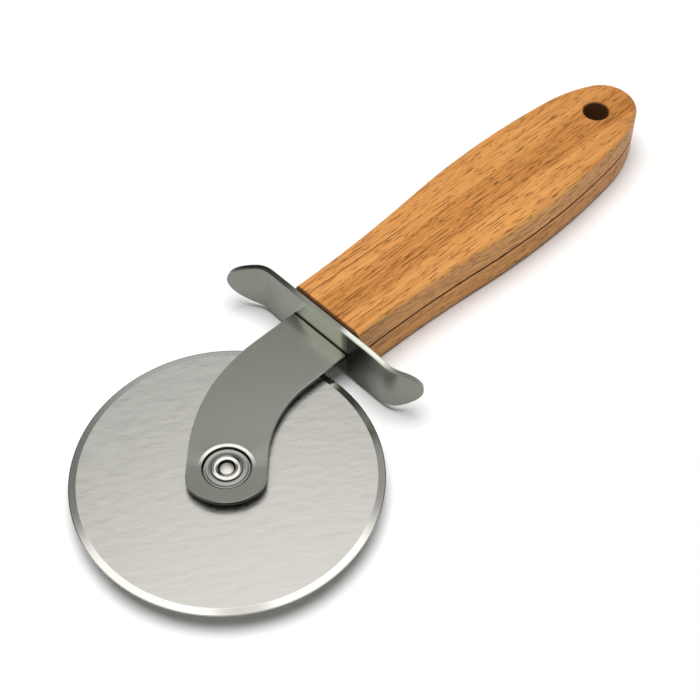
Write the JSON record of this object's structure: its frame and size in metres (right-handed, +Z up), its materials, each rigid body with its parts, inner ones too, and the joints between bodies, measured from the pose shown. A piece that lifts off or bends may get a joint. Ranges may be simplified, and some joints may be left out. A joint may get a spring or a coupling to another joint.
{
  "type": "pizza cutter",
  "caption": "Hand-held pizza cutter: a free-spinning round blade riveted under a cranked steel arm, with an S-bent guard and a two-half wooden handle.",
  "frame": {"origin": "middle of the handle's flat underside, half way along the handle", "axes": "+X along the handle towards its hanging hole, so the wheel is towards -X; +Z up from the surface the cutter lies on, along the wheel's axle; the axle is offset to the -Y side"},
  "size_m": [0.1987, 0.0821, 0.0165],
  "materials": {
    "wheel_steel": "fine brushed, double-ground edge",
    "arm_steel": "satin, stamped sheet",
    "guard_steel": "polished sheet, bright edges",
    "rivet_steel": "bright, rolled over",
    "washer_steel": "plain satin",
    "bearing_nylon": "natural nylon",
    "handle_wood": "thin satin oil or lacquer over fine-pored honey-brown hardwood",
    "pin_steel": "plain"
  },
  "bodies": {
    "cutter_frame": {"arm_and_tang": "arm_steel", "guard": "guard_steel", "axle_rivet": "rivet_steel", "clinch_washer": "washer_steel", "bearing_washer": "bearing_nylon", "head_washer": "washer_steel", "upper_handle_half": "handle_wood", "lower_handle_half": "handle_wood", "front_tang_pin": "pin_steel", "rear_tang_pin": "pin_steel"},
    "wheel": {"wheel_blade": "wheel_steel"}
  },
  "joints": [
    {"name": "wheel_spin", "type": "hinge", "parent": "cutter_frame", "child": "wheel", "pos_m": [-0.10345, -0.0142, 0.00575], "axis": [0, 0, 1], "continuous": true}
  ]
}
